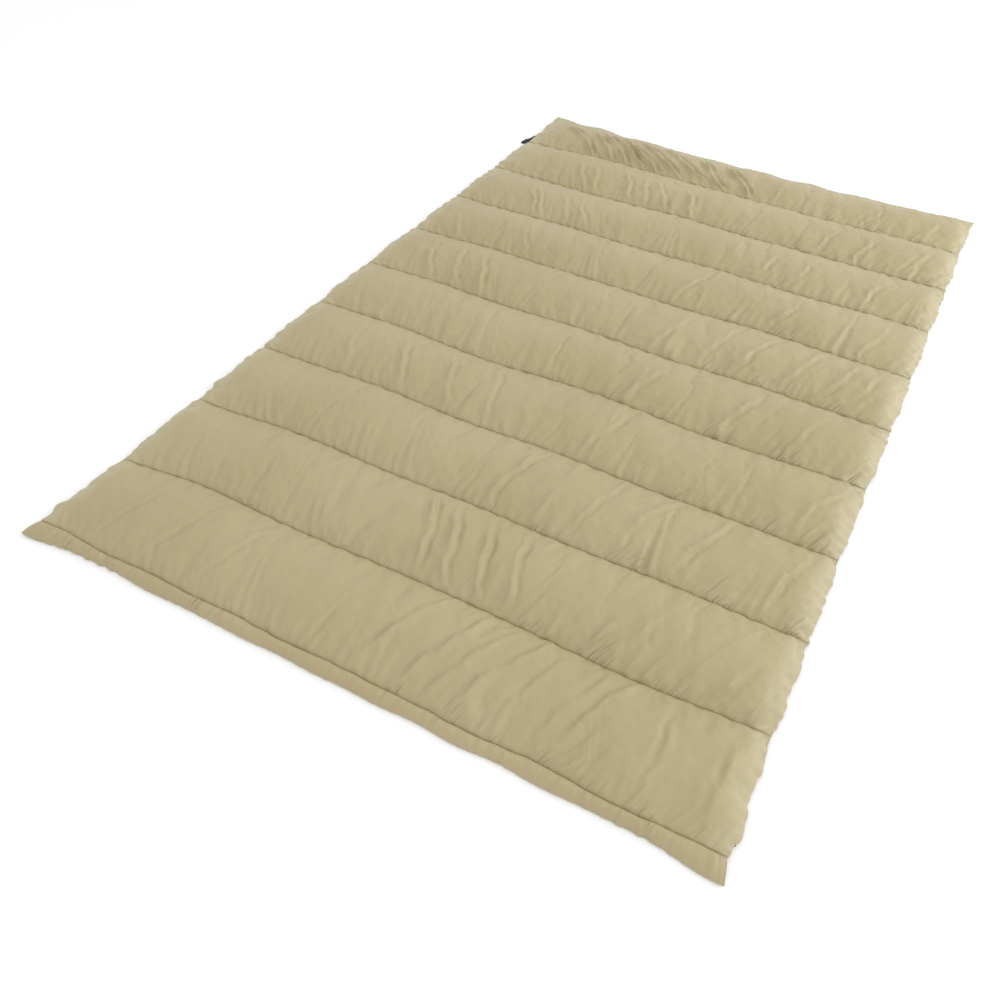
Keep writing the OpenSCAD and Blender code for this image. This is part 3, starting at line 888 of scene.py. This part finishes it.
def make_channels():
    grids = top_cloth()
    for k, grid in enumerate(grids, 1):
        piece = pillow(k, grid)
        panel = (k + 1) // 2
        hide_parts(f"wadding_{k}", f"shell_{panel}", f"lining_{panel}")
        follow(piece, grid[0, 0, 1], grid[-1, 0, 1])
    return grids


def make_stitching(grids):
    """Both rows of thread of each seam: one down in the valley of the shell and one in the
    groove of the lining."""
    for k in range(1, CHANNELS):
        line = grids[k - 1][-1]
        over = line + np.array([0.0, 0.0, 0.00025])
        under = line.copy()
        under[:, 2] = np.minimum(SEAM_FOOT, line[:, 2]) - 0.0005
        inside = slice(10, -10)
        points, faces = joined([stitches(over[inside]), stitches(under[inside], face_up=False)])
        piece = make_piece(f"stitching_{k}", points, faces, [THREAD])
        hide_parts(f"seam_{k}")
        follow(piece, SEAM_Y[k - 1], SEAM_Y[k - 1])


def hem_wave(x):
    """How far the lower edge of the hem is drawn in: long waves, and short gathers at the
    left corner, beside the join and near the right end."""
    left = smooth(-x, 0.36, 0.46) * smooth(0.59 + x, 0.0, 0.03)
    join = np.exp(-(((x + 0.258) / 0.05) ** 2))
    right = np.exp(-(((x - 0.47) / 0.035) ** 2))
    inward = 0.010 * smooth(0.6 - np.abs(x), 0.0, 0.12) + 0.0016 * ripple(x, 0.13, 81) + 0.002 * left
    inward += (0.0003 + 0.0010 * left + 0.0006 * join + 0.0008 * right) * ripple(x, 0.019, 82)
    return inward * smooth(0.6 - np.abs(x), 0.0, 0.05), left, join, right


def make_hem(grids):
    """Hem tunnel: a strip of shell folded double round the elastic.  Its section goes from
    the stitched line over the top, round the lower edge and back underneath; along it the
    strip is gathered into small cross folds."""
    line = grids[-1][-1]
    x = line[:, 0]
    inward, left, join, right = hem_wave(x)
    front = NEAR_END + inward
    gather = (0.5 + 1.3 * left + 0.8 * join + 1.5 * right) * ripple(x, 0.019, 83)
    broad = ripple(x, 0.09, 84)
    hem_lip = 0.62 * HEM_TOP
    t = np.concatenate([np.linspace(0, 1, 15), 1 + np.linspace(0.12, 0.88, 5), np.linspace(2, 3, 11)])
    rows = []
    for place in t:
        if place <= 1:
            share = place
            height = SEAM_TOP + (hem_lip - SEAM_TOP) * place + 0.0052 * np.sin(np.pi * place) ** 0.8
        elif place < 2:
            turn = (place - 1) * np.pi
            share = 1.0 + 0.06 * np.sin(turn)
            height = (hem_lip + 0.0008) / 2 + (hem_lip - 0.0008) / 2 * np.cos(turn)
        else:
            share, height = 3 - place, 0.0008 + (SEAM_FOOT - 0.0008) * (place - 2) ** 2
        y = line[:, 1] + (front - line[:, 1]) * share
        flared = x + np.sign(x) * 0.008 * share * smooth(np.abs(x), 0.53, 0.588)
        bulge = np.sin(np.pi * min(place, 1)) if place <= 1 else 0.3 * (place < 2)
        z = height + bulge * (0.0009 * gather + 0.0007 * broad)
        if place > 2:
            z = np.maximum(z, 0.0006)
        rows.append(np.stack([flared, y, z], axis=1))
    grid = np.stack(rows)
    grid[0] = line
    ends = smooth(0.6 - np.abs(x), -0.012, 0.03)
    middle = 0.0045
    grid[1:, :, 2] = middle + (grid[1:, :, 2] - middle) * (0.35 + 0.65 * ends)[None, :]
    casing = make_piece("hem_tunnel", grid, quads(*grid.shape[:2]), [SHELL])
    gather = (0.30 + 0.6 * left + 0.6 * join + 0.6 * right) * (0.6 + 0.4 * ripple(x, 0.06, 85))
    marks = {"gather": gather + 0 * t[:, None], "run": x + 0 * t[:, None], "reach": 0.03 * t[:, None] + 0 * x}
    for label, mask in marks.items():
        attribute = casing.data.attributes.new(label, "FLOAT", "POINT")
        attribute.data.foreach_set("value", mask.ravel().astype(np.float32))
    wall = casing.modifiers.new("cloth_thickness", "SOLIDIFY")
    wall.thickness, wall.offset = 0.0005, -1.0
    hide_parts("hem_casing")
    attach(casing, "panel_5")

    inside = slice(4, -4)
    over = line + np.array([0.0, 0.0, 0.0003])
    under = line.copy()
    under[:, 2] = SEAM_FOOT - 0.0006
    bar_x = -0.258 + 0.004 * np.array([-1, 1])
    bars = []
    for at in bar_x:
        column = np.argmin(np.abs(x - at))
        run = grid[1:15, column] + np.array([0, 0, 0.0003])
        bars.append(stitches(run, length=0.0020, gap=0.0006))
    points, faces = joined([stitches(over[inside]), stitches(under[inside], face_up=False), *bars])
    sewing = make_piece("hem_sewing", points, faces, [THREAD])
    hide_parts("hem_stitching")
    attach(sewing, "panel_5")

    low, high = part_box("hem_elastic")
    radius = (high.z - low.z) / 2
    at_x = np.linspace(low.x, high.x, 160)
    at_y = np.interp(at_x, x, (line[:, 1] + 2 * front) / 3)
    centre = np.stack([at_x, at_y, np.full(160, (low.z + high.z) / 2)], axis=1)
    _, side, up = directions(centre)
    rings = tube(centre, side, up, (radius * (1 + 0.06 * np.sin(at_x * 2400)), radius), 10)
    band = make_piece("hem_elastic_cord", rings, tube_faces(160, 10), [ELASTIC])
    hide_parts("hem_elastic")
    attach(band, "panel_5")


def zip_parts():
    """The lengths into which each zip is cut: the ends, which ride on one panel, and the
    four that cross a fold."""
    cuts = SEAM_Y[0::2]
    return list(zip([None, *cuts], [*cuts, None]))


def make_zip(side, word):
    for part, (far, near) in enumerate(zip_parts(), 1):
        top, foot = TAPE_FAR if far is None else far, TAPE_NEAR if near is None else near
        y = np.linspace(top, foot, max(8, int((top - foot) / 0.006)))
        centre_x = side * ((tape_low.x + tape_high.x) / 2 + zip_bow(y, side))
        centre_z = np.full_like(y, (tape_low.z + tape_high.z) / 2)
        centre = np.stack([centre_x, y, centre_z], axis=1)
        _, across_it, up = directions(centre)
        half = ((tape_high.x - tape_low.x) / 2, (tape_high.z - tape_low.z) / 2)
        section = np.array([
            (-1, -0.4), (-0.985, -1), (0.985, -1), (1, -0.4), (1, 0.4), (0.985, 1), (-0.985, 1), (-1, 0.4)
        ])
        points = centre[:, None, :] + section[None, :, :1] * half[0] * across_it[:, None, :]
        points = points + section[None, :, 1:] * half[1] * up[:, None, :]
        tape = make_piece(f"tape_{word}_{part}", points, tube_faces(len(y), 8), [TAPE], smooth_faces=False)
        nodes = [i for i in (part - 1, part) if 1 <= i <= 5]
        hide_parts(*[f"zip_tape_{word}_{i}" for i in nodes])
        follow(tape, top, foot)

        top, foot = ZIP_FAR if far is None else far, ZIP_NEAR if near is None else near
        pitch, per_turn, wire = 0.0016, 8, 0.00033
        turns = int((top - foot) / pitch)
        t = np.linspace(0, turns, turns * per_turn + 1)
        y = top + (foot - top) * t / turns
        lie = 2 * np.pi * t
        wide, high = (coil_high.x - coil_low.x) / 2 - wire, (coil_high.z - coil_low.z) / 2 - wire
        path_x = side * (COIL_X + zip_bow(y, side) + wide * np.cos(lie))
        path = np.stack([path_x, y, COIL_Z + 0.8 * high * np.sin(lie)], axis=1)
        _, across_it, up = directions(path, (0.0, 1.0, 0.0))
        rings = tube(path, across_it, up, (wire, wire), 4)
        coil = make_piece(f"coil_{word}_{part}", rings, tube_faces(len(path), 4), [COIL])
        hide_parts(*[f"zip_coil_{word}_{i}" for i in nodes])
        follow(coil, top, foot)


def make_pull():
    """Pull on the slider: a thin cord doubled through the slider's post and moulded into a
    flat grip with rounded ends and four cross grooves."""
    grip_low, grip_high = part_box("zip_pull_grip")
    angle = np.radians(11.0)
    post = np.array([-0.598, 0.8505, 0.0])
    ahead = np.array([-np.sin(angle), -np.cos(angle), 0.0])
    aside = np.array([-np.cos(angle), np.sin(angle), 0.0])
    middle_z = (grip_low.z + grip_high.z) / 2
    thick = (grip_high.z - grip_low.z) / 2
    corners = np.array([[x, y] for x in (grip_low.x, grip_high.x) for y in (grip_low.y, grip_high.y)])
    centre = corners.mean(axis=0)
    along = (centre - post[:2]) @ ahead[:2]
    start, length, width = along - 0.018, 0.036, 0.0075
    t = np.linspace(0.0, 1.0, 61)
    outline = np.clip(4 * t * (1 - t), 0.0, 1.0) ** 0.20
    dips = (t[:, None] - np.array([0.36, 0.48, 0.60, 0.72])) / 0.022
    groove = 1 - 0.16 * np.exp(-(dips ** 2)).sum(axis=1)
    shape_wide = width * outline * (0.62 + 0.38 * smooth(t, 0.0, 0.32))
    shape_high = thick * np.clip(outline * 1.25, 0.2, 1.0) * groove
    path = post + ahead * (start + length * t)[:, None]
    path[:, 2] = middle_z
    turn = np.linspace(0, 2 * np.pi, 28, endpoint=False)
    power = lambda v, e: np.sign(v) * np.abs(v) ** e
    ring = power(np.cos(turn), 0.55)[None, :, None] * aside * shape_wide[:, None, None]
    ring = ring + power(np.sin(turn), 0.75)[None, :, None] * np.array([0, 0, 1.0]) * shape_high[:, None, None]
    rings = path[:, None, :] + ring
    grip = make_piece("pull_grip", rings, tube_faces(61, 28), [PLASTIC])
    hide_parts("zip_pull_grip")
    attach(grip, "zip_pull")


def finish_nodes():
    """The CAD pieces that keep their own shape get their finish."""
    for name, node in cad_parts.items():
        if node.hide_render:
            continue
        finish = METAL
        if name in ("zip_retainer_box", "zip_insertion_pin"):
            finish = PLASTIC
        if name == "zip_pull_loop":
            finish = CORD
        node.data.materials.clear()
        node.data.materials.append(finish)


def make_floor():
    """A wide pale floor just under the quilt."""
    corners = np.array([[-9, -9, 0], [9, -9, 0], [9, 9, 0], [-9, 9, 0]], float)
    corners[:, 2] = -0.0006
    material, n, shader = surface("studio_floor", 0.9)
    place = n.add("ShaderNodeTexCoord")
    cloud = n.add("ShaderNodeTexNoise", Vector=place.outputs["Object"], Scale=0.5)
    pale, paler = (0.985, 0.985, 0.985, 1), (0.995, 0.995, 0.995, 1)
    n.set(shader, "Base Color", n.mix(cloud.outputs["Fac"], pale, paler))
    make_piece("studio_floor", corners, [(0, 1, 2, 3)], [material])


place_camera()
light_studio()
make_floor()
channel_grids = make_channels()
make_stitching(channel_grids)
make_hem(channel_grids)
make_zip(-1, "left")
make_zip(1, "right")
make_pull()
finish_nodes()
